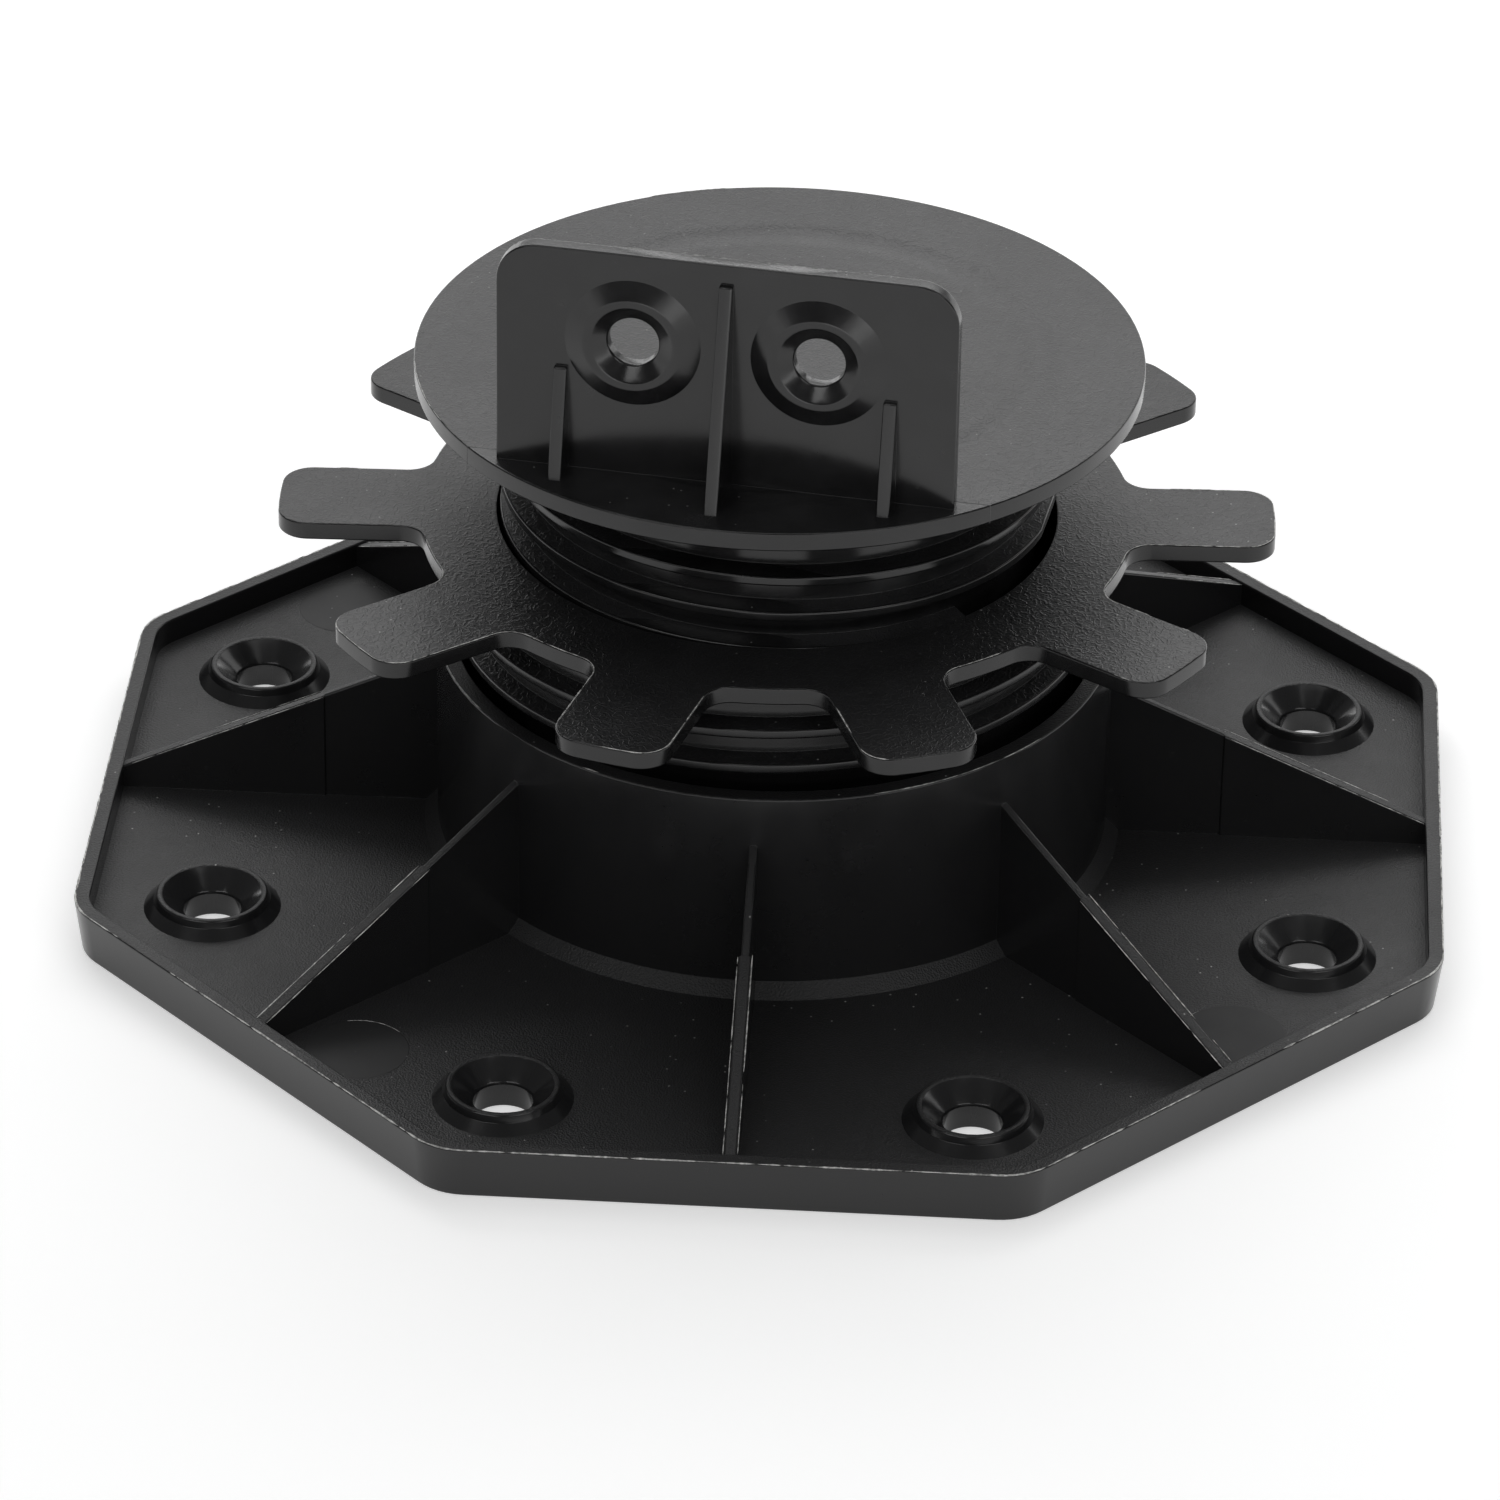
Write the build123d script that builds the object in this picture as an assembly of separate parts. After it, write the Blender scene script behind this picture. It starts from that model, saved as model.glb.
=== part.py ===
from build123d import *
import math
import os

# Height-adjustable decking pedestal, moulded in black plastic.
# Three mouldings screw into each other: an octagonal base with a threaded sleeve,
# a ring with ten finger tabs, and a head that carries the joist and its fixing plate.
# Millimetres. +Z is up, the origin is the middle of the underside,
# and the fixing plate of the head faces -Y.

# How the three pieces stand to each other
BASE_YAW = 8.1           # degrees that the base is turned against the head
RING_YAW = 10.1          # degrees that the ring's first tab is turned against the head
RING_GAP = 17.1          # sleeve rim to underside of the ring's flange
HEAD_GAP = 22.6          # ring's top to underside of the head's disc

# Base plate
SIDES = 8
BASE_FLATS = 200.0       # across flats, at the lip
SIDE_DRAFT = 1.0         # the outer wall leans in by this much towards the ground
CORNER_R = 10.0
FLOOR_T = 4.2
LIP_H = 8.2              # above the ground
LIP_W = 2.4

# Screw bosses of the base
BOSS_CIRCLE_R = 86.9
BASE_BOSS_FOOT_R = 10.1
BASE_BOSS_SHOULDER_R = 8.6
BASE_BOSS_SHOULDER_H = 1.4
BASE_BOSS_CROWN_R = 8.1
BASE_BOSS_SINK_R = 7.4   # mouth of its countersink
BASE_BOSS_HOLE_R = 4.25
BASE_BOSS_H = 2.5        # above the floor

# Radial ribs of the base
RIB_T = 1.8              # outer length of a rib
RIB_NECK_T = 1.2         # inner length of a rib
RIB_NECK_R = 67.0        # where the two meet
RIB_TOP_Z = 29.2         # at the sleeve
RIB_FOOT_Z = 7.8         # at the lip

# Sleeve of the base
SLEEVE_TOP = 36.9
SLEEVE_WALL = 2.65
SLEEVE_FOOT = 2.0        # bevel round its foot

# Ring
FLANGE_T = 2.75
FLANGE_OVERHANG = 5.3    # flange beyond the crests of its skirt, between the tabs
TABS = 10
TAB_LENGTH = 20.7        # beyond the flange
TAB_W = 17.0
TAB_TIP_FILLET = 4.5
TAB_ROOT_FILLET = 4.0
SKIRT_LENGTH = 28.3      # below the flange
SKIRT_WALL = 3.4
SKIRT_THREAD_L = 17.5    # below the flange, then a plain pilot
SKIRT_FLAT = 1.7         # how far the two flats cut into its crests

# Head
DISC_R = 53.0
DISC_T = 2.85
TUBE_WALL = 2.3
TUBE_LENGTH = 34.5       # below the disc
TUBE_THREAD_L = 24.2     # below the disc, then a plain pilot
TUBE_FLAT = 0.4          # how far the two flats cut into its crests
CREST_R = 40.6           # crests of the tube's thread

# Threads: the upper one is left-handed and the lower one right-handed,
# so that turning the ring alone drives base and head apart
LEAD = 5.75
CREST_W = 1.4            # flat width of a crest
ROOT_W = 2.85            # flat width of a root
THREAD_DEPTH = 2.7       # tube's thread
SKIRT_THREAD_DEPTH = 2.6
TUBE_PLAY = 0.4          # radial, tube in ring
SKIRT_PLAY = 0.35        # radial, skirt in sleeve
UPPER_PHASE_Z = 63.2     # height of an upper root over +X
LOWER_PHASE_Z = 44.3     # height of a lower root over +X
ROOT_SINK = 0.2          # how deep a thread's ridge reaches into its stem

# Fixing plate of the head
PLATE_W = 65.8
PLATE_H = 34.5           # above the disc
PLATE_T = 2.3
PLATE_FRONT = 39.6       # its front face, from the axis
PLATE_FILLET = 6.0
PLATE_SCREW_SPACING = 26.54
PLATE_SCREW_DROP = 13.7  # below its top edge
PLATE_BOSS_FOOT_R = 9.75
PLATE_BOSS_CROWN_R = 6.9
PLATE_BOSS_SINK_R = 6.0
PLATE_BOSS_HOLE_R = 3.65
PLATE_BOSS_H = 1.2       # in front of the plate

# Gussets in front of the plate
GUSSET_T = 1.95
MID_GUSSET_DROP = 3.0    # below the plate's top
MID_GUSSET_FOOT = 9.5    # in front of the plate
SIDE_GUSSET_X = 23.5
SIDE_GUSSET_H = 16.0
SIDE_GUSSET_FOOT = 4.5
GUSSET_TIP = 0.7         # what a gusset stands out at its top

# For all pieces
COUNTERSINK_END = 0.3    # a countersink ends this far below the face that its boss stands on
SINK = 0.6               # how deep a piece of one moulding reaches into another
OVERRUN = 1.0            # how far a cutter runs past what it cuts

# Sizes that follow
ring_low = SLEEVE_TOP + RING_GAP
ring_top = ring_low + FLANGE_T
disc_low = ring_top + HEAD_GAP
disc_top = disc_low + DISC_T
tube_root_r = CREST_R - THREAD_DEPTH
bore_r = CREST_R + TUBE_PLAY
skirt_root_r = bore_r + SKIRT_WALL
skirt_crest_r = skirt_root_r + SKIRT_THREAD_DEPTH
sleeve_bore_r = skirt_crest_r + SKIRT_PLAY
sleeve_r = sleeve_bore_r + SLEEVE_WALL
flange_r = skirt_crest_r + FLANGE_OVERHANG
tip_r = flange_r + TAB_LENGTH


def ring_of(count, piece, phase=0.0):
    """The piece, repeated evenly round the Z axis."""
    step = 360.0 / count
    return [Rot(0, 0, phase + step * i) * piece for i in range(count)]


def turned(profile):
    """A solid turned round Z from (radius, height) points."""
    face = make_face(Polyline([(r, 0, z) for r, z in profile], close=True))
    return revolve(face, Axis.Z)


def column(radius, low, high):
    """A round column on the Z axis between two heights."""
    return Pos(0, 0, (low + high) / 2) * Cylinder(radius, high - low)


def helical_ridge(root_r, crest_r, root_z, low, high, left):
    """A thread's ridge as a closed solid with blunt ends, its mid line between the heights low and high.

    It lies midway between two roots, and a root is at height root_z over +X."""
    turns = (low - root_z) / LEAD - 0.5
    start_angle = -360 * turns if left else 360 * turns
    flank = (LEAD - CREST_W - ROOT_W) / 2 * (crest_r - root_r + ROOT_SINK) / (crest_r - root_r)
    section = [
        (root_r - ROOT_SINK, -CREST_W / 2 - flank), (crest_r, -CREST_W / 2),
        (crest_r, CREST_W / 2), (root_r - ROOT_SINK, CREST_W / 2 + flank),
    ]
    edges = [
        Edge.make_helix(LEAD, high - low, r, (0, 0, low + dz), (0, 0, 1), 0, left)
        for r, dz in section
    ]
    sides = [
        Face.make_surface_from_curves(edge, following)
        for edge, following in zip(edges, edges[1:] + edges[:1])
    ]
    ends = [Face(Wire.make_polygon([e @ at for e in edges], close=True)) for at in (0, 1)]
    return Rot(0, 0, start_angle) * Solid(Shell(sides + ends))


def outside_thread(root_r, depth, root_z, low, high, flat, left):
    """The ridge with its crests cut by two flats on X, where the halves of its mould met."""
    crest_r = root_r + depth
    across = 2 * (crest_r - flat)
    # its ends stand out past both heights, by less than a lead
    between_flats = Pos(0, 0, (low + high) / 2) * Box(
        across, 2 * (crest_r + OVERRUN), high - low + 2 * LEAD
    )
    return helical_ridge(root_r, crest_r, root_z, low, high, left) & between_flats


def boss(outside, sink_r, hole_r):
    """A screw boss that stands on Z = 0, and the cutter for its countersink.

    outside is its profile in (radius, height) points, from its foot to its crown."""
    foot_r, _ = outside[0]
    _, height = outside[-1]
    body = turned([(0, -SINK), (foot_r, -SINK)] + outside + [(0, height)])
    countersink = turned([
        (0, -COUNTERSINK_END), (hole_r, -COUNTERSINK_END), (sink_r, height),
        (sink_r, height + OVERRUN), (0, height + OVERRUN),
    ])
    return body, countersink


def octagon(apothem, corner_r):
    shape = RegularPolygon(apothem, SIDES, major_radius=False, rotation=180.0 / SIDES)
    return fillet(shape.vertices(), corner_r)


def rib():
    """One rib on +X: a thin inner length and a thicker outer one."""
    slope = (RIB_TOP_Z - RIB_FOOT_Z) / (BASE_FLATS / 2 - LIP_W - sleeve_r)
    start = sleeve_r - SLEEVE_WALL / 2
    end = BASE_FLATS / 2 - LIP_W / 2

    def crest(r):
        return RIB_TOP_Z - slope * (r - sleeve_r)

    def length(r0, r1, thickness):
        outline = Polyline(
            [(r0, 0, FLOOR_T - SINK), (r1, 0, FLOOR_T - SINK), (r1, 0, crest(r1)), (r0, 0, crest(r0))],
            close=True,
        )
        return extrude(make_face(outline), thickness / 2, (0, 1, 0), both=True)

    return length(start, end, RIB_NECK_T) + length(RIB_NECK_R, end, RIB_T)


def sleeve():
    """The sleeve's wall with the bevel round its foot."""
    foot_r = sleeve_r + SLEEVE_FOOT
    return turned([
        (sleeve_bore_r, FLOOR_T - SINK), (foot_r, FLOOR_T - SINK), (foot_r, FLOOR_T),
        (sleeve_r, FLOOR_T + SLEEVE_FOOT), (sleeve_r, SLEEVE_TOP), (sleeve_bore_r, SLEEVE_TOP),
    ])


def build_base():
    apothem = BASE_FLATS / 2
    bottom = octagon(apothem - SIDE_DRAFT, CORNER_R - SIDE_DRAFT)
    top = octagon(apothem, CORNER_R)
    body = loft([bottom, Pos(0, 0, LIP_H) * top])
    tray = octagon(apothem - LIP_W, CORNER_R - LIP_W)
    body -= Pos(0, 0, FLOOR_T) * extrude(tray, LIP_H)
    half_step = 180.0 / SIDES
    outside = [
        (BASE_BOSS_FOOT_R, 0), (BASE_BOSS_SHOULDER_R, BASE_BOSS_SHOULDER_H),
        (BASE_BOSS_CROWN_R, BASE_BOSS_H),
    ]
    stand, countersink = boss(outside, BASE_BOSS_SINK_R, BASE_BOSS_HOLE_R)
    place = Pos(BOSS_CIRCLE_R, 0, 0)
    on_floor = place * Pos(0, 0, FLOOR_T)
    hole = place * column(BASE_BOSS_HOLE_R, -OVERRUN, FLOOR_T)
    body += ring_of(SIDES, rib())
    body += sleeve()
    body += ring_of(SIDES, on_floor * stand, half_step)
    body -= ring_of(SIDES, on_floor * countersink, half_step)
    body -= ring_of(SIDES, hole, half_step)
    return Rot(0, 0, BASE_YAW) * body


def build_ring():
    tab = Pos(tip_r / 2, 0) * Rectangle(tip_r, TAB_W)
    outline = Circle(flange_r) + ring_of(TABS, tab)
    outline = outline & Circle(tip_r)
    tips = outline.vertices().filter_by(lambda v: math.hypot(v.X, v.Y) > flange_r + TAB_LENGTH / 2)
    outline = fillet(tips, TAB_TIP_FILLET)
    roots = outline.vertices().filter_by(lambda v: math.hypot(v.X, v.Y) < flange_r + SINK)
    outline = fillet(roots, TAB_ROOT_FILLET)
    low = ring_low - SKIRT_LENGTH
    body = Pos(0, 0, ring_low) * extrude(outline, FLANGE_T)
    body += column(skirt_root_r, low, ring_top)
    # the ridge ends inside the flange, and it is given in the ring's own frame
    phase_z = LOWER_PHASE_Z + LEAD * RING_YAW / 360
    body += outside_thread(
        skirt_root_r, SKIRT_THREAD_DEPTH, phase_z, ring_low - SKIRT_THREAD_L,
        ring_low + FLANGE_T / 2, SKIRT_FLAT, False,
    )
    body -= column(bore_r, low - OVERRUN, ring_top + OVERRUN)
    return Rot(0, 0, RING_YAW) * body


def gusset(height, foot):
    """A fin on the plate's front face, from the disc up."""
    front = -PLATE_FRONT
    outline = Polyline(
        [
            (0, front + SINK, disc_top - SINK), (0, front - foot, disc_top - SINK),
            (0, front - foot, disc_top), (0, front - GUSSET_TIP, disc_top + height),
            (0, front + SINK, disc_top + height),
        ],
        close=True,
    )
    return extrude(make_face(outline), GUSSET_T / 2, (1, 0, 0), both=True)


def fixing_plate():
    """The upright plate with its two screw bosses and three gussets."""
    panel = Rectangle(PLATE_W, 2 * PLATE_H)
    panel = fillet(panel.vertices().group_by(Axis.Y)[-1], PLATE_FILLET)
    panel = panel & (Pos(0, PLATE_H / 2 - SINK / 2) * Rectangle(PLATE_W, PLATE_H + SINK))
    onto_front = Pos(0, -PLATE_FRONT, disc_top) * Rot(90, 0, 0)
    body = onto_front * extrude(panel, -PLATE_T)
    outside = [(PLATE_BOSS_FOOT_R, 0), (PLATE_BOSS_CROWN_R, PLATE_BOSS_H)]
    stand, countersink = boss(outside, PLATE_BOSS_SINK_R, PLATE_BOSS_HOLE_R)
    drill = column(PLATE_BOSS_HOLE_R, -PLATE_T - OVERRUN, 0)
    body += gusset(PLATE_H - MID_GUSSET_DROP, MID_GUSSET_FOOT)
    for side in (-1, 1):
        place = onto_front * Pos(side * PLATE_SCREW_SPACING / 2, PLATE_H - PLATE_SCREW_DROP, 0)
        body += place * stand
        body -= place * countersink
        body -= place * drill
        body += Pos(side * SIDE_GUSSET_X, 0, 0) * gusset(SIDE_GUSSET_H, SIDE_GUSSET_FOOT)
    return body


def build_head():
    low = disc_low - TUBE_LENGTH
    body = column(DISC_R, disc_low, disc_top)
    body += column(tube_root_r, low, disc_top)
    body += outside_thread(
        tube_root_r, THREAD_DEPTH, UPPER_PHASE_Z, disc_low - TUBE_THREAD_L,
        disc_low + DISC_T / 2, TUBE_FLAT, True,
    )
    body -= column(tube_root_r - TUBE_WALL, low - OVERRUN, disc_low)
    return body + fixing_plate()


os.makedirs("parts", exist_ok=True)
for name, build in {"base": build_base, "adjusting_ring": build_ring, "head": build_head}.items():
    export_step(build(), f"parts/{name}.step")
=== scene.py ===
import math
import random

import bmesh
import bpy
from mathutils import Matrix, Vector


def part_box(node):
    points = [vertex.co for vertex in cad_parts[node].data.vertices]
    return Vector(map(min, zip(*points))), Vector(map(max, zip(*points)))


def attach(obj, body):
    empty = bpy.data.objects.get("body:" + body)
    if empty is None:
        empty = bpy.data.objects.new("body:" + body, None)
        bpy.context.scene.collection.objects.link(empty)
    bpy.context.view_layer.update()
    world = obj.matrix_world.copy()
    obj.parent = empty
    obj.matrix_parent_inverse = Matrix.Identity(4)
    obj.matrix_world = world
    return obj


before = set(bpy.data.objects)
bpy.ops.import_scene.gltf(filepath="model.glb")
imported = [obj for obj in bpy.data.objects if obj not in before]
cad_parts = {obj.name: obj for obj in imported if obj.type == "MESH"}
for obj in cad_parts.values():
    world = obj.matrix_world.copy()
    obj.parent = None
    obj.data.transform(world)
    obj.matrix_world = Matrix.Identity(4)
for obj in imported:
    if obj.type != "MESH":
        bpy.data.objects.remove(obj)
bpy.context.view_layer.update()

MM = 0.001
UP = Vector((0, 0, 1))
LEVEL = (Vector((0, 0, 0)), Vector((1, 0, 0)), Vector((0, 1, 0)))    # middle and two directions

# The photograph's camera, fitted to the base's corners, the disc and the plate
IMAGE_PX = 1500
FOCAL_PX = 7885
SENSOR_MM = 36.0
CAMERA_AZIMUTH = 11.19      # degrees, from -Y towards +X
CAMERA_ELEVATION = 31.154
CAMERA_ROLL = 0.938
CAMERA_DISTANCE = 1.1848
CAMERA_RIGHT = -0.00319
CAMERA_UP = 0.01289
CAMERA_CLIP = (0.05, 20)    # metres

# Soft boxes, placed about the camera's view: metres to the right, towards the camera
# and up, then width and height, then watts. All aim at the object.
LAMPS = {
    "top_box": (0, 0, 1.2, 1.0, 0.8, 2.0),
    "high_back_box": (0, -0.6, 1.05, 1.2, 0.6, 2.0),
    "upper_back_box": (0, -0.85, 0.9, 1.4, 0.4, 4.4),
    "back_box": (0, -1.0, 0.7, 1.6, 0.5, 2.4),
    "low_back_box": (0, -1.4, 0.3, 2.4, 0.35, 2.5),
    "right_back_box": (0.95, -0.7, 0.7, 0.5, 0.5, 1.0),
    "left_front_box": (-0.55, 0.78, 0.85, 0.8, 0.25, 1.7),
    "right_front_box": (0.55, 0.78, 0.85, 0.8, 0.25, 1.6),
    "low_front_box": (0.35, 1.15, 0.22, 1.6, 0.2, 1.5),
}
AIM_Z = 50 * MM
SURROUND = 0.11             # what the world adds from all around
FLOOR_WHITE = 0.8
FLOOR_GLOW = 0.46           # near the object, where the lamps light the floor as well
FLOOR_LIT_R = (0.5, 1.8)    # metres, over which that light ends
BACKDROP_R = 2.95
BACKDROP_H = 0.45
BACKDROP_FACES = 96
FLOOR_BEYOND = 0.1          # how much wider than the backdrop the floor is

# Heights and places on the mouldings that the details lie on
FLOOR_TOP = 4.2 * MM
LIP_TOP = 8.2 * MM
SLEEVE_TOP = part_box("base")[1].z
SLEEVE_R = 50 * MM
SLEEVE_FOOT_R = 52.5 * MM
FLANGE_TOP = 56.75 * MM
FLANGE_R = 48 * MM          # between the flange's inner and outer edges
DISC_LOW = 79.35 * MM
DISC_TOP = 82.2 * MM
DISC_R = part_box("head")[1].x
PLATE_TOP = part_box("head")[1].z
PLATE_BACK = -37.3 * MM
PLATE_HALF_W = 32.9 * MM
PLATE_CORNER = 6.2 * MM     # a little more than the radius of its corners
PLATE_TOP_BAND = 0.2 * MM
BASE_YAW = 8.1              # degrees
SIDES = 8
LIP_MIDDLE = 98.4 * MM      # from the axis, square to a side
RIB_HALF_T = 0.9 * MM       # of a rib's outer length
RIB_NECK_R = 67 * MM
RIB_END_R = 97.6 * MM
RIB_TOP = 29.2 * MM         # at the sleeve
RIB_FOOT = 7.8 * MM         # at the lip
ON_FACE = 0.02 * MM         # how close to a height or face a corner lies that is on it
SAME_TURN = 4               # decimals of a radian, to which two corners in one direction agree

# Marks that the mould's ejector pins left on the base's floor, each with a short pale burr arc
# that is partly a painted highlight on its edge
PIN_R = 7.6 * MM
PIN_CIRCLE_R = 88.9 * MM
PIN_YAW = -30.3             # degrees, of the first of four
PIN_RISE = 0.05 * MM
PIN_PROFILE = (             # radius and height of its edge, from below the floor upwards
    (PIN_R, -PIN_RISE),
    (PIN_R, 0.4 * PIN_RISE),
    (PIN_R - 3 * PIN_RISE, PIN_RISE),
)
PIN_SIDES = 64
PIN_BURR_YAW = 22           # degrees, of the middle of its burr from the way to the axis
PIN_BURR_TURN = 32          # degrees, to either side of that middle
PIN_BURR_STEP = 4           # degrees
PIN_BURR_HALF_W = 1.6 * PIN_RISE
PIN_BURR_H = 1.5 * PIN_RISE

# Colours and grains of the black plastic. Heights are in grain depths. A mark such as a
# scuff starts at the first value of its noise and is full at the second.
BLACK = (0.96, 0.96, 1.0)   # times each moulding's own shade
SPECK_COLOR = (0.45, 0.45, 0.44, 1)
SCUFF_COLOR = (0.09, 0.09, 0.088, 1)
IOR = 1.5
GRAIN_DEPTH = 0.11 * MM
WORMS_PER_M = 900
WORM_WIDTH = 0.09           # to either side of the noise's middle value
WORM_HEIGHT = 0.34
PEBBLES_PER_M = 2100
PEBBLE_HEIGHT = 0.3
SAND_PER_M = 3300
SAND_HEIGHT = 0.7
WAVES_PER_M = 95            # the slight unevenness of every face
WAVE_HEIGHT = 0.35
FLOW_PER_M = 20             # broad changes of gloss
FLOW_ROUGHNESS = 0.2
WEAR_PER_M = 130            # smaller ones, which are paler as well
WEAR_ROUGHNESS = 0.14
WORN = (0.3, 0.75)
PALE_BY_WEAR = 0.35
# the grained faces' paler colour: partly the grain's greyer look, partly a painted sheen of the
# light on faces that look up
PALE_BY_GRAIN_AND_SHEEN = 0.65
SCUFFS_PER_M = 420
SCUFFED = (0.66, 0.8)
SPECKS_PER_M = 170
SPECK_R = (0.014, 0.03)     # in cells: solid within the first, gone beyond the second
SPECK_DRIFTS_PER_M = 55
SPECK_DRIFT = (0.46, 0.6)
SINK_MARK_R = 37.6 * MM     # the shallow sink above the tube's wall, in the disc's top
SINK_MARK_W = 4.0 * MM
SINK_MARK_DEPTH = 5.0

# Where the grain is: how far up a face looks, from not grained to grained, and the widths
# over which it ends
FACES_UP = (0.8, 0.95)
FACES_SLOPED = (0.5, 0.65)
FOOT_FADE = 0.5 * MM
PLATE_FADE = 0.2 * MM
FRONT_GRAIN = 0.2           # in front of the plate, of the grain behind it

# Rounding of the mouldings' edges
WELD_WITHIN = 0.1 * MM
FLAT_WITHIN = 1             # degrees between faces that count as one flat face
ROUND = 0.3 * MM
ROUND_SEGMENTS = 3
ROUND_FROM = 19             # degrees between faces, from which an edge is rounded
INSIDE_ROUND = 0.15         # of an inside corner, times an outside edge's
NORMAL_WEIGHT = 60

# Torn flash, whose pale colour is partly stretched plastic and partly a painted glint of the light
# along the edges. For each edge: the share that has it, its width and its inset from the side.
LIP_FLASH = (0.93, 0.19 * MM, 0.19 * MM)
SLEEVE_FLASH = (0.3, 0.1 * MM, 0.15 * MM)
RIB_FLASH = (0.75, 0.09 * MM, 0.13 * MM)
TAB_FLASH = (0.4, 0.11 * MM, 0.13 * MM)
PLATE_FLASH = (0.92, 0.17 * MM, 0.18 * MM)
DISC_FLASH = (0.08, 0.08 * MM, 0.12 * MM)
CIRCLE_SIDES = 240          # of a circle that flash runs round
FLASH_STEP = 0.4 * MM
FLASH_SINK = 0.02 * MM
FLASH_RUN = (4, 50)         # steps
FLASH_SHORTEST = 3          # steps
FLASH_START = (0.6, 1.0)    # a strip's first width, of the whole one
FLASH_CHANGE = 0.25         # the most by which a step changes it, of the whole one
FLASH_THINNEST = 0.5        # of the whole one
FLASH_TIP = (0.2, 0.4)      # of the width at a strip's end, and added by each step from it
FLASH_HEIGHT = (0.5, 1.0)   # of the width there
# whitish: partly stretched plastic, partly a painted glint along the edges
FLASH_AND_GLINT_COLOR = (0.7, 0.7, 0.68)
FLASH_DARK = 0.3            # of that colour, where it isn't frayed
FRAYS_PER_M = 900
FRAYED = (0.35, 0.6)
FRAY_RELIEF = 0.6
FRAY_ROUGHNESS = 0.3
FLASH_ROUGHNESS = 0.35

# The disc's parting line: half its width and its height, on the top and down the side
SEAM_TOP = (0.14 * MM, 0.03 * MM)
SEAM_SIDE = (0.09 * MM, 0.03 * MM)


def camera_axes():
    """The camera's right, up and back directions."""
    azimuth, elevation, roll = (
        math.radians(a) for a in (CAMERA_AZIMUTH, CAMERA_ELEVATION, CAMERA_ROLL)
    )
    level_right = Vector((math.cos(azimuth), math.sin(azimuth), 0))
    back = Vector((
        math.sin(azimuth) * math.cos(elevation),
        -math.cos(azimuth) * math.cos(elevation),
        math.sin(elevation),
    ))
    level_up = back.cross(level_right)
    right = math.cos(roll) * level_right + math.sin(roll) * level_up
    up = -math.sin(roll) * level_right + math.cos(roll) * level_up
    return right, up, back


def make_camera():
    right, up, back = camera_axes()
    data = bpy.data.cameras.new("camera")
    data.sensor_width = SENSOR_MM
    data.lens = FOCAL_PX / IMAGE_PX * SENSOR_MM
    data.clip_start, data.clip_end = CAMERA_CLIP
    camera = bpy.data.objects.new("camera", data)
    bpy.context.scene.collection.objects.link(camera)
    turned = Matrix((right, up, back)).transposed().to_4x4()
    place = back * CAMERA_DISTANCE + right * CAMERA_RIGHT + up * CAMERA_UP
    camera.matrix_world = Matrix.Translation(place) @ turned
    bpy.context.scene.camera = camera


class Graph:
    """A material's node tree, with short calls to add nodes and links."""

    def __init__(self, name):
        self.material = bpy.data.materials.new(name)
        self.material.use_nodes = True
        self.tree = self.material.node_tree
        self.tree.nodes.clear()

    def add(self, kind, inputs=None, **settings):
        node = self.tree.nodes.new(kind)
        for key, value in settings.items():
            setattr(node, key, value)
        for key, value in (inputs or {}).items():
            if isinstance(value, bpy.types.NodeSocket):
                self.tree.links.new(value, node.inputs[key])
            else:
                node.inputs[key].default_value = value
        return node

    def math(self, operation, a, b=0.0, c=0.0):
        return self.add("ShaderNodeMath", {0: a, 1: b, 2: c}, operation=operation).outputs[0]

    def ramp(self, value, low, high):
        """0 below low and 1 above high, smooth between."""
        node = self.add(
            "ShaderNodeMapRange",
            {"Value": value, "From Min": low, "From Max": high},
            interpolation_type="SMOOTHSTEP",
        )
        return node.outputs["Result"]

    def noise(self, vector, scale, detail=2.0, roughness=0.5, distortion=0.0):
        node = self.add(
            "ShaderNodeTexNoise",
            {"Vector": vector, "Scale": scale, "Detail": detail, "Roughness": roughness,
             "Distortion": distortion},
        )
        return node.outputs["Fac"]

    def cells(self, vector, scale, dimensions="3D"):
        """The distance to the nearest of many scattered points, in cells."""
        node = self.add(
            "ShaderNodeTexVoronoi",
            {"Vector": vector, "Scale": scale},
            voronoi_dimensions=dimensions,
        )
        return node.outputs["Distance"]

    def mix_color(self, factor, a, b):
        node = self.add("ShaderNodeMix", {0: factor, 6: a, 7: b}, data_type="RGBA")
        return node.outputs[2]

    def plastic(self, color, roughness, bump):
        shader = self.add(
            "ShaderNodeBsdfPrincipled",
            {"Base Color": color, "Roughness": roughness, "Normal": bump.outputs[0], "IOR": IOR},
        )
        return self.output(shader.outputs[0])

    def output(self, shader):
        out = self.add("ShaderNodeOutputMaterial")
        self.tree.links.new(shader, out.inputs[0])
        return self.material


def shaded(color, shade):
    """A colour times a shade, with full alpha."""
    return tuple(c * shade for c in color) + (1,)


def leather(g, place):
    """A leathery moulding grain: short worms over small pebbles."""
    flow = g.noise(place, WORMS_PER_M, detail=1.0, roughness=0.4, distortion=0.6)
    off = g.math("ABSOLUTE", g.math("SUBTRACT", flow, 0.5))
    worm = g.math("SUBTRACT", 1.0, g.ramp(off, 0.0, WORM_WIDTH))
    pebble = g.math("MULTIPLY", g.cells(place, PEBBLES_PER_M), -PEBBLE_HEIGHT)
    return g.math("MULTIPLY_ADD", worm, WORM_HEIGHT, pebble)


def sand(g, place):
    """A fine sandy grain."""
    return g.math("MULTIPLY", g.cells(place, SAND_PER_M), SAND_HEIGHT)


def from_axis(g, at):
    x, y = at.outputs[0], at.outputs[1]
    return g.math("SQRT", g.math("MULTIPLY_ADD", x, x, g.math("MULTIPLY", y, y)))


# Zones of grain. Each gets the graph, the place and the direction that a face looks in.
def upward(g, at, facing):
    """Faces that look up."""
    return g.ramp(facing.outputs[2], *FACES_UP)


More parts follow.
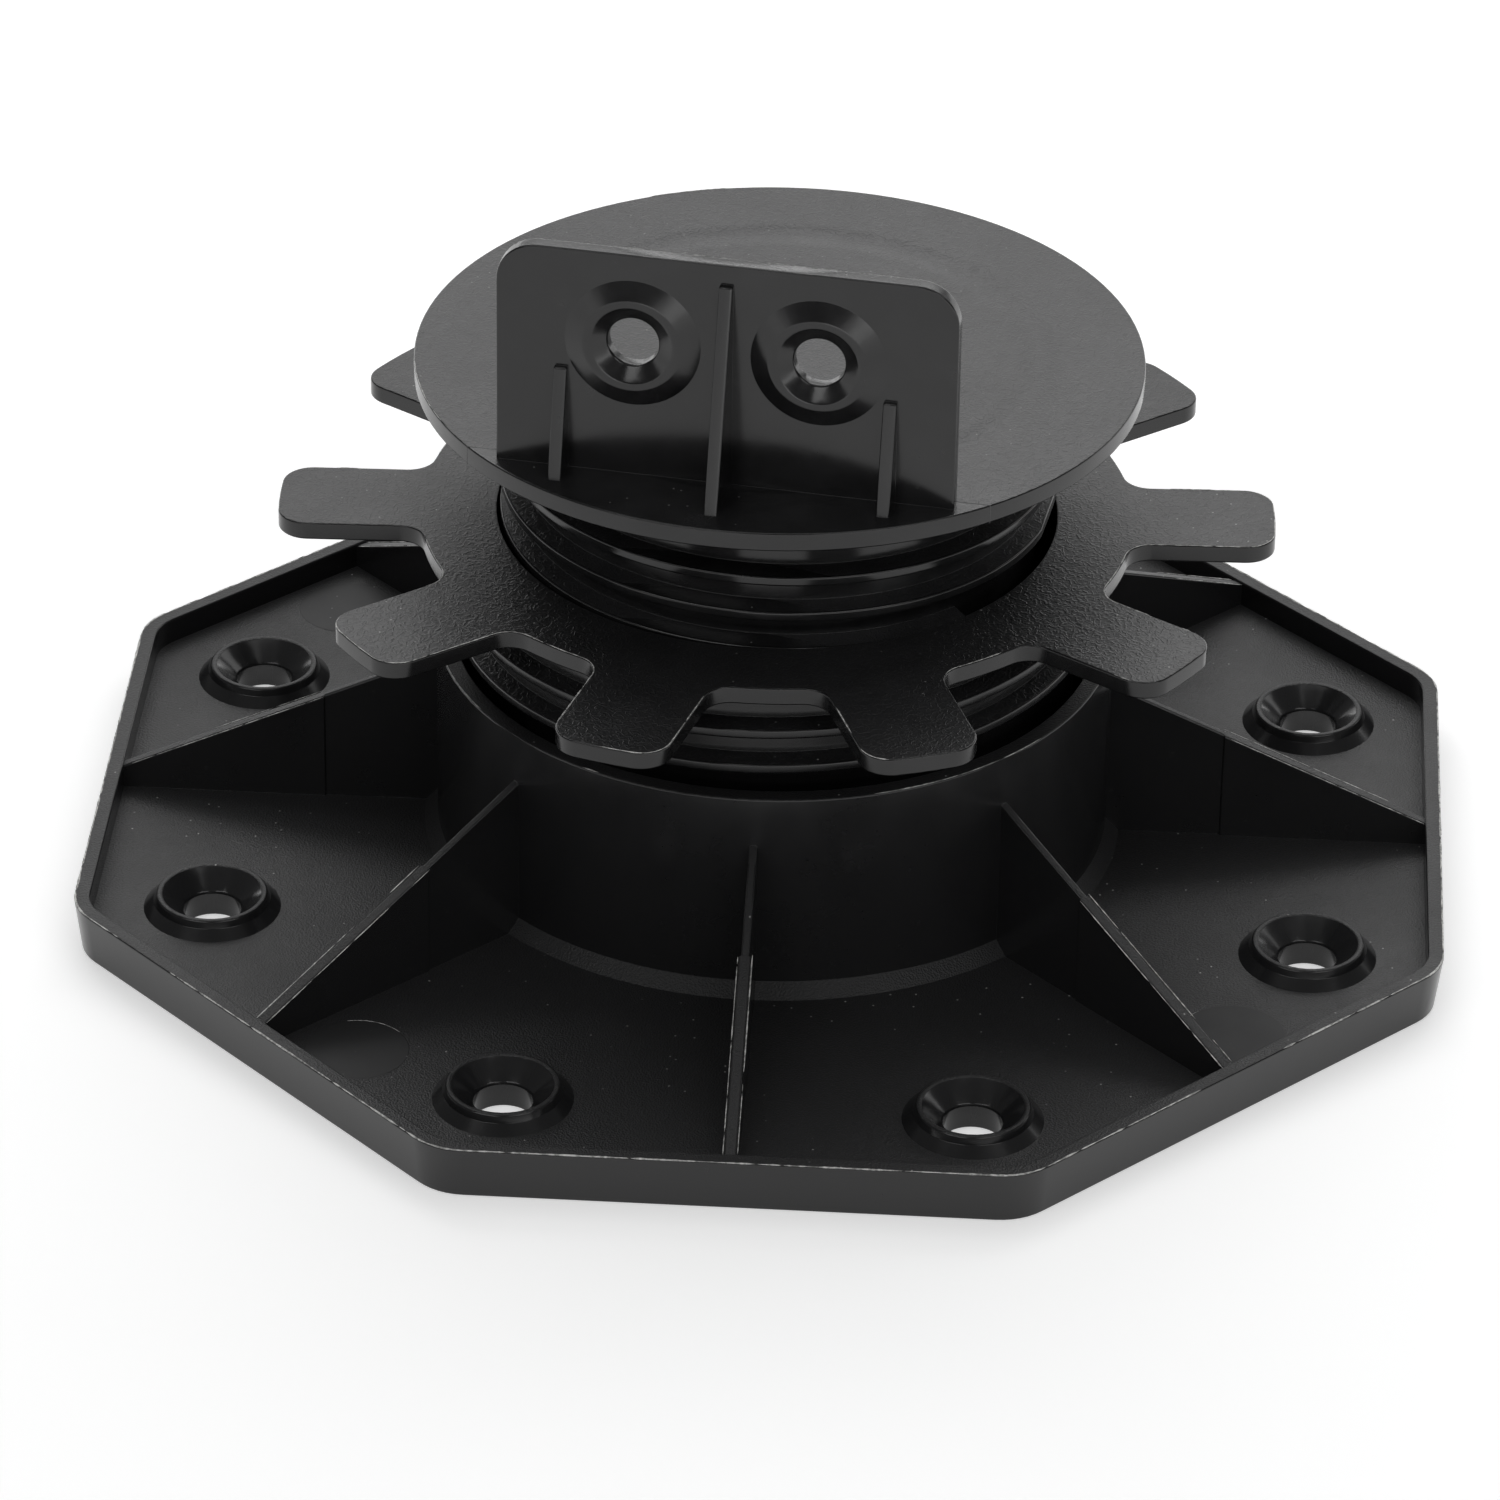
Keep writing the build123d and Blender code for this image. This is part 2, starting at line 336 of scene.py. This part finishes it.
def tray_faces(g, at, facing):
    """Faces that look up, and the bevel round the sleeve's foot."""
    beyond = g.ramp(from_axis(g, at), SLEEVE_FOOT_R, SLEEVE_FOOT_R + FOOT_FADE)
    near = g.math("SUBTRACT", 1.0, beyond)
    sloped = g.math("MULTIPLY", g.ramp(facing.outputs[2], *FACES_SLOPED), near)
    return g.math("MAXIMUM", upward(g, at, facing), sloped)


def behind_plate(g, at, facing):
    """The disc's top behind the plate, and the plate's own top: in front the mould is polished."""
    behind = g.ramp(at.outputs[1], PLATE_BACK - PLATE_FADE, PLATE_BACK)
    grain = g.math("MULTIPLY_ADD", behind, 1 - FRONT_GRAIN, FRONT_GRAIN)
    return g.math("MULTIPLY", upward(g, at, facing), grain)


def nowhere(g, at, facing):
    """No face at all."""
    return 0.0


def sink_mark(g, at, facing):
    """The shallow sink that the tube below leaves in the disc's top."""
    off = g.math("ABSOLUTE", g.math("SUBTRACT", from_axis(g, at), SINK_MARK_R))
    dip = g.math("SUBTRACT", g.ramp(off, 0.0, SINK_MARK_W), 1.0)
    return g.math("MULTIPLY", g.math("MULTIPLY", dip, SINK_MARK_DEPTH), upward(g, at, facing))


def moulded_plastic(name, shade, smooth, grained, grain_and_sheen_paler, grain, zone, dust, scuff, relief=None):
    """Black moulded plastic: grained where zone says, smoother and glossier elsewhere.

    shade is how pale its black is, smooth and grained are the roughness of the two kinds
    of face, grain_and_sheen_paler is how many times paler the grained one is painted, partly
    for the grain's greyer look and partly as a painted sheen of the light on faces that look up,
    dust and scuff are how much of each shows, and relief is a further form in the bump."""
    g = Graph(name)
    coordinates = g.add("ShaderNodeTexCoord")
    place = coordinates.outputs["Object"]
    facing = g.add("ShaderNodeSeparateXYZ", {0: coordinates.outputs["Normal"]})
    at = g.add("ShaderNodeSeparateXYZ", {0: place})
    rough_here = zone(g, at, facing)

    flow = g.noise(place, FLOW_PER_M, detail=3.0, roughness=0.55)
    wear = g.noise(place, WEAR_PER_M, detail=4.0, roughness=0.65)
    waves = g.math("MULTIPLY", g.noise(place, WAVES_PER_M), WAVE_HEIGHT)
    height = g.math("MULTIPLY_ADD", grain(g, place), rough_here, waves)
    if relief:
        height = g.math("ADD", height, relief(g, at, facing))
    bump = g.add("ShaderNodeBump", {"Height": height, "Strength": 1.0, "Distance": GRAIN_DEPTH})

    satin = g.math("MULTIPLY_ADD", rough_here, grained - smooth, smooth)
    satin = g.math("MULTIPLY_ADD", g.math("SUBTRACT", flow, 0.5), FLOW_ROUGHNESS, satin)
    satin = g.math("MULTIPLY_ADD", g.math("SUBTRACT", wear, 0.5), WEAR_ROUGHNESS, satin)

    specks = g.ramp(g.cells(place, SPECKS_PER_M, dimensions="2D"), *SPECK_R)
    specks = g.math("MULTIPLY", g.math("SUBTRACT", 1.0, specks), upward(g, at, facing))
    drift = g.ramp(g.noise(place, SPECK_DRIFTS_PER_M), *SPECK_DRIFT)
    specks = g.math("MULTIPLY", g.math("MULTIPLY", specks, drift), dust)
    scuffs = g.ramp(g.noise(place, SCUFFS_PER_M, detail=3.0, roughness=0.7), *SCUFFED)
    scuffs = g.math("MULTIPLY", scuffs, scuff)
    # grained faces painted paler, partly for the grain and partly as a painted sheen of the light
    # on faces that look up; wear adds paler patches at random
    wear_grain_and_sheen = g.math("MULTIPLY", rough_here, PALE_BY_GRAIN_AND_SHEEN)
    wear_grain_and_sheen = g.math("MULTIPLY_ADD", g.ramp(wear, *WORN), PALE_BY_WEAR, wear_grain_and_sheen)
    body = g.mix_color(wear_grain_and_sheen, shaded(BLACK, shade), shaded(BLACK, shade * grain_and_sheen_paler))
    body = g.mix_color(scuffs, body, SCUFF_COLOR)
    body = g.mix_color(specks, body, SPECK_COLOR)
    return g.plastic(body, satin, bump)


def torn_plastic_and_glint(name):
    """Pale, stretched plastic of flash that was torn off, its whiteness partly a painted glint of
    the light on the edges.
    """
    g = Graph(name)
    place = g.add("ShaderNodeTexCoord").outputs["Object"]
    frayed = g.ramp(g.noise(place, FRAYS_PER_M, detail=3.0, roughness=0.7), *FRAYED)
    body = g.mix_color(frayed, shaded(FLASH_AND_GLINT_COLOR, FLASH_DARK), shaded(FLASH_AND_GLINT_COLOR, 1))
    bump = g.add(
        "ShaderNodeBump",
        {"Height": frayed, "Strength": FRAY_RELIEF, "Distance": GRAIN_DEPTH},
    )
    rough = g.math("MULTIPLY_ADD", frayed, FRAY_ROUGHNESS, FLASH_ROUGHNESS)
    return g.plastic(body, rough, bump)


def flat_white(name):
    """The floor's and the backdrop's white, seen as such by the camera and in reflections.

    It keeps the object's shadow, because much of it is the lamps' light."""
    g = Graph(name)
    rays = g.add("ShaderNodeLightPath")
    seen = g.math("MAXIMUM", rays.outputs["Is Camera Ray"], rays.outputs["Is Transmission Ray"])
    seen = g.math("MAXIMUM", seen, rays.outputs["Is Glossy Ray"])
    place = g.add("ShaderNodeTexCoord").outputs["Object"]
    distance = g.add("ShaderNodeVectorMath", {0: place}, operation="LENGTH").outputs["Value"]
    unlit = g.ramp(distance, *FLOOR_LIT_R)
    glow = g.math("MULTIPLY_ADD", unlit, 1.0 - FLOOR_GLOW, FLOOR_GLOW)
    strength = g.math("MULTIPLY", seen, glow)
    light = g.add("ShaderNodeEmission", {"Color": (1, 1, 1, 1), "Strength": strength})
    matte = g.add("ShaderNodeBsdfDiffuse", {"Color": (FLOOR_WHITE, FLOOR_WHITE, FLOOR_WHITE, 1)})
    both = g.add("ShaderNodeAddShader", {0: light.outputs[0], 1: matte.outputs[0]})
    return g.output(both.outputs[0])


def edge_weights():
    """A node group that gives outside edges the full rounding and inside corners a slight one."""
    group = bpy.data.node_groups.new("edge_weights", "GeometryNodeTree")
    group.interface.new_socket("Geometry", in_out="INPUT", socket_type="NodeSocketGeometry")
    group.interface.new_socket("Geometry", in_out="OUTPUT", socket_type="NodeSocketGeometry")
    nodes, link = group.nodes, group.links.new
    start = nodes.new("NodeGroupInput")
    end = nodes.new("NodeGroupOutput")
    angle = nodes.new("GeometryNodeInputMeshEdgeAngle")
    outside = nodes.new("ShaderNodeMath")
    outside.operation = "GREATER_THAN"
    outside.inputs[1].default_value = math.radians(ROUND_FROM)
    inside = nodes.new("ShaderNodeMath")
    inside.operation = "LESS_THAN"
    inside.inputs[1].default_value = -math.radians(ROUND_FROM)
    both = nodes.new("ShaderNodeMath")
    both.operation = "MULTIPLY_ADD"
    both.inputs[1].default_value = INSIDE_ROUND
    keep = nodes.new("GeometryNodeStoreNamedAttribute")
    keep.data_type = "FLOAT"
    keep.domain = "EDGE"
    keep.inputs["Name"].default_value = "bevel_weight_edge"
    link(angle.outputs["Signed Angle"], outside.inputs[0])
    link(angle.outputs["Signed Angle"], inside.inputs[0])
    link(inside.outputs[0], both.inputs[0])
    link(outside.outputs[0], both.inputs[2])
    link(start.outputs[0], keep.inputs["Geometry"])
    link(both.outputs[0], keep.inputs["Value"])
    link(keep.outputs[0], end.inputs[0])
    return group


def rounded(node):
    """Rounds a CAD node's sharp edges, as its mould leaves them, without touching its mesh."""
    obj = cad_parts[node]
    weld = obj.modifiers.new("weld", "WELD")
    weld.merge_threshold = WELD_WITHIN
    flat = obj.modifiers.new("flat", "DECIMATE")
    flat.decimate_type = "DISSOLVE"
    flat.angle_limit = math.radians(FLAT_WITHIN)
    weights = obj.modifiers.new("weights", "NODES")
    weights.node_group = bpy.data.node_groups.get("edge_weights") or edge_weights()
    bevel = obj.modifiers.new("round", "BEVEL")
    bevel.width = ROUND
    bevel.segments = ROUND_SEGMENTS
    bevel.limit_method = "WEIGHT"
    bevel.use_clamp_overlap = False
    bevel.miter_outer = "MITER_ARC"
    normals = obj.modifiers.new("normals", "WEIGHTED_NORMAL")
    normals.weight = NORMAL_WEIGHT


def dress(node, material):
    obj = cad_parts[node]
    obj.data.materials.clear()
    obj.data.materials.append(material)


def piece(name, mesh, body, material):
    """A new piece of the scene, from a bmesh, that rides on a body."""
    bmesh.ops.recalc_face_normals(mesh, faces=mesh.faces)
    data = bpy.data.meshes.new(name)
    mesh.to_mesh(data)
    mesh.free()
    data.materials.append(material)
    obj = bpy.data.objects.new(name, data)
    bpy.context.scene.collection.objects.link(obj)
    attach(obj, body)


def around(centre, wanted, node):
    """A node's corners that wanted picks, in order round a centre, as a closed loop.

    centre gives the middle and the two directions that the order is taken in. Corners in
    one direction count once."""
    middle, first, second = centre
    found = {}
    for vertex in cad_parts[node].data.vertices:
        if wanted(vertex.co):
            off = vertex.co - middle
            turn = math.atan2(off.dot(second), off.dot(first))
            found[round(turn, SAME_TURN)] = vertex.co.copy()
    return [found[turn] for turn in sorted(found)]


def ring_of(radius, height, count):
    """Corners of a circle about the axis, as a closed loop."""
    turns = [2 * math.pi * i / count for i in range(count)]
    return [Vector((radius * math.cos(t), radius * math.sin(t), height)) for t in turns]


def along(path, closed, facing, step):
    """Points at even steps along a path, each with the direction out of the face's edge."""
    ends = path[1:] + path[:1] if closed else path[1:]
    out = []
    for a, b in zip(path, ends):
        side = b - a
        count = max(1, round(side.length / step))
        outward = side.cross(facing).normalized()
        out += [(a.lerp(b, i / count), outward) for i in range(count)]
    return out


def flash_strips(mesh, rng, path, facing, share, width, inset, closed=True):
    """Torn slivers of flash along a path, in strips with gaps between them.

    They lie inset from the side of the edge and stand up from the face."""
    stations = along(path, closed, facing, FLASH_STEP)
    i = 0
    while i < len(stations):
        length = rng.randint(*FLASH_RUN)
        run = stations[i:i + length]
        i += length
        if rng.random() > share or len(run) < FLASH_SHORTEST:
            continue
        size = width * rng.uniform(*FLASH_START)
        rings = []
        for k, (point, outward) in enumerate(run):
            change = width * rng.uniform(-FLASH_CHANGE, FLASH_CHANGE)
            size = min(max(size + change, FLASH_THINNEST * width), width)
            from_end = min(k, len(run) - 1 - k)
            thick = size * min(1.0, FLASH_TIP[0] + FLASH_TIP[1] * from_end)
            core = point - outward * inset - facing * FLASH_SINK
            across = outward * thick
            up = facing * thick * rng.uniform(*FLASH_HEIGHT)
            rings.append([mesh.verts.new(core + v) for v in (across, up, -across, -up)])
        for a, b in zip(rings, rings[1:]):
            for k in range(4):
                mesh.faces.new((a[k], a[k - 3], b[k - 3], b[k]))
        mesh.faces.new(rings[0])
        mesh.faces.new(rings[-1])


def flash(name, body, material, seed, edges):
    """One piece with the flash of several edges: path, facing, share, width, inset, closed."""
    rng = random.Random(seed)
    mesh = bmesh.new()
    for edge in edges:
        flash_strips(mesh, rng, *edge)
    piece(name, mesh, body, material)


def ridge(mesh, path, facing, half_width, height):
    """A low ridge along a path that lies on a face. Its foot is as deep as its top is high."""
    rings = []
    for k, point in enumerate(path):
        side = (path[min(k + 1, len(path) - 1)] - path[max(k - 1, 0)]).cross(facing).normalized()
        foot = point - facing * height
        corners = (foot + side * half_width, point + facing * height, foot - side * half_width)
        rings.append([mesh.verts.new(c) for c in corners])
    for a, b in zip(rings, rings[1:]):
        for k in range(3):
            mesh.faces.new((a[k], a[k - 2], b[k - 2], b[k]))
    mesh.faces.new(rings[0])
    mesh.faces.new(rings[-1])


def pin_marks(material, burr_highlight_material):
    """Four smooth round marks, a quarter turn apart, on the base's floor, each with a short pale
    burr arc that is partly a painted highlight.
    """
    mesh = bmesh.new()
    burrs = bmesh.new()
    for quarter in range(4):
        turn = math.radians(PIN_YAW + 90 * quarter)
        centre = Vector((PIN_CIRCLE_R * math.cos(turn), PIN_CIRCLE_R * math.sin(turn), FLOOR_TOP))
        loops = [
            [mesh.verts.new(centre + p) for p in ring_of(radius, rise, PIN_SIDES)]
            for radius, rise in PIN_PROFILE
        ]
        for a, b in zip(loops, loops[1:]):
            for k in range(len(a)):
                mesh.faces.new((a[k - 1], a[k], b[k], b[k - 1]))
        mesh.faces.new(loops[0])
        mesh.faces.new(loops[-1])
        # the burr covers only a short arc and is pale: partly a painted highlight on the mark's
        # edge
        burr = []
        for off in range(-PIN_BURR_TURN, PIN_BURR_TURN + 1, PIN_BURR_STEP):
            turned = Matrix.Rotation(turn + math.radians(PIN_BURR_YAW + off), 3, "Z")
            burr.append(centre - turned @ Vector((PIN_R, 0, 0)))
        ridge(burrs, burr, UP, PIN_BURR_HALF_W, PIN_BURR_H)
    piece("pin_marks", mesh, "base", material)
    piece("pin_burr_highlights", burrs, "base", burr_highlight_material)


def area_light(name, place, target, size, power):
    data = bpy.data.lights.new(name, "AREA")
    data.shape = "RECTANGLE"
    data.size, data.size_y = size
    data.energy = power
    light = bpy.data.objects.new(name, data)
    light.location = place
    light.rotation_mode = "QUATERNION"
    light.rotation_quaternion = (Vector(target) - Vector(place)).to_track_quat("-Z", "Y")
    light.visible_camera = False
    bpy.context.scene.collection.objects.link(light)


def studio():
    """A pale floor in a low backdrop, a dim surround and soft boxes about the camera's view."""
    white = flat_white("studio_white")
    bpy.ops.mesh.primitive_plane_add(size=2 * BACKDROP_R + FLOOR_BEYOND)
    floor = bpy.context.object
    floor.name = "floor"
    bpy.ops.mesh.primitive_cylinder_add(
        vertices=BACKDROP_FACES, radius=BACKDROP_R, depth=2 * BACKDROP_H, end_fill_type="NOTHING")
    backdrop = bpy.context.object
    backdrop.name = "backdrop"
    for obj in (floor, backdrop):
        obj.data.materials.append(white)

    world = bpy.data.worlds.new("surround")
    bpy.context.scene.world = world
    world.use_nodes = True
    sky = world.node_tree.nodes["Background"]
    sky.inputs["Color"].default_value = (1, 1, 1, 1)
    sky.inputs["Strength"].default_value = SURROUND

    azimuth = math.radians(CAMERA_AZIMUTH)
    right = Vector((math.cos(azimuth), math.sin(azimuth), 0))
    towards = Vector((math.sin(azimuth), -math.cos(azimuth), 0))
    for name, (sideways, forwards, up, width, height, watts) in LAMPS.items():
        place = right * sideways + towards * forwards + Vector((0, 0, up))
        area_light(name, place, (0, 0, AIM_Z), (width, height), watts)


def lip_edge():
    """The lip's outer top edge: the corners at that height beyond the lip's middle line."""
    turns = [math.radians(BASE_YAW + 360 / SIDES * k) for k in range(SIDES)]
    flats = [Vector((math.cos(turn), math.sin(turn), 0)) for turn in turns]
    return around(
        LEVEL,
        lambda p: abs(p.z - LIP_TOP) < ON_FACE and max(p.dot(flat) for flat in flats) > LIP_MIDDLE,
        "base")


def tab_edge():
    """The top edge of the flange and its ten tabs."""
    return around(
        LEVEL,
        lambda p: abs(p.z - FLANGE_TOP) < ON_FACE and p.xy.length > FLANGE_R,
        "adjusting_ring")


def plate_edge():
    """The back edge of the fixing plate, up one side, over its top and down the other."""
    middle = Vector((0, PLATE_BACK, DISC_TOP))
    return around(
        (middle, Vector((1, 0, 0)), UP),
        lambda p: abs(p.y - PLATE_BACK) < ON_FACE and p.z > DISC_TOP + MM
        and (abs(p.x) > PLATE_HALF_W - PLATE_CORNER or p.z > PLATE_TOP - PLATE_TOP_BAND),
        "head")[::-1]


def rib_edges():
    """The two top edges of each rib's outer length."""
    slope = (RIB_TOP - RIB_FOOT) / (RIB_END_R - SLEEVE_R)
    for k in range(SIDES):
        turn = math.radians(BASE_YAW + 360 / SIDES * k)
        out = Vector((math.cos(turn), math.sin(turn), 0))
        across = Vector((-math.sin(turn), math.cos(turn), 0))
        for hand in (-1, 1):
            ends = [
                out * r + across * hand * RIB_HALF_T + UP * (RIB_TOP - slope * (r - SLEEVE_R))
                for r in (RIB_NECK_R, RIB_END_R)
            ]
            yield ends[::hand]


def details():
    """The small marks of the mould: flash along edges, pin marks and the disc's parting line."""
    torn_and_glint = torn_plastic_and_glint("torn_plastic_and_glint")
    polished = moulded_plastic(
        "polished_plastic", shade=0.008, smooth=0.24, grained=0.24, grain_and_sheen_paler=1,
        grain=sand, zone=nowhere, dust=0.3, scuff=0)
    matt = moulded_plastic(
        "matt_plastic", shade=0.014, smooth=0.62, grained=0.62, grain_and_sheen_paler=1,
        grain=sand, zone=nowhere, dust=0.3, scuff=0)
    flash("lip_flash", "base", torn_and_glint, seed=11, edges=[
        (lip_edge(), UP, *LIP_FLASH),
        (ring_of(SLEEVE_R, SLEEVE_TOP, CIRCLE_SIDES), UP, *SLEEVE_FLASH),
        *((edge, UP, *RIB_FLASH, False) for edge in rib_edges()),
    ])
    flash("tab_flash", "ring", torn_and_glint, seed=23, edges=[
        (tab_edge(), UP, *TAB_FLASH),
    ])
    flash("plate_flash", "head", torn_and_glint, seed=37, edges=[
        (plate_edge(), Vector((0, 1, 0)), *PLATE_FLASH, False),
        (ring_of(DISC_R, DISC_TOP, CIRCLE_SIDES), UP, *DISC_FLASH),
    ])
    pin_marks(matt, torn_and_glint)

    rim_x = math.sqrt(DISC_R ** 2 - PLATE_BACK ** 2)
    seam = bmesh.new()
    for hand in (-1, 1):
        at_plate = Vector((hand * PLATE_HALF_W, PLATE_BACK, DISC_TOP))
        at_rim = Vector((hand * rim_x, PLATE_BACK, DISC_TOP))
        below = Vector((at_rim.x, at_rim.y, DISC_LOW))
        ridge(seam, [at_plate, at_rim], UP, *SEAM_TOP)
        ridge(seam, [at_rim, below], at_rim.normalized(), *SEAM_SIDE)
    piece("parting_line", seam, "head", polished)


for node in ("base", "adjusting_ring", "head"):
    rounded(node)
# each moulding's factor for its grained faces is partly a painted sheen of the light on faces that
# look up
dress("base", moulded_plastic(
    "base_plastic", shade=0.015, smooth=0.2, grained=0.54, grain_and_sheen_paler=1.15,
    grain=sand, zone=tray_faces, dust=0.9, scuff=0.12))
dress("adjusting_ring", moulded_plastic(
    "ring_plastic", shade=0.0075, smooth=0.2, grained=0.42, grain_and_sheen_paler=2.6,
    grain=leather, zone=upward, dust=0.7, scuff=0.2))
dress("head", moulded_plastic(
    "head_plastic", shade=0.0075, smooth=0.2, grained=0.42, grain_and_sheen_paler=4.0,
    grain=leather, zone=behind_plate, dust=0.4, scuff=0.1, relief=sink_mark))
details()
studio()
make_camera()
bpy.context.scene.view_settings.view_transform = "Standard"
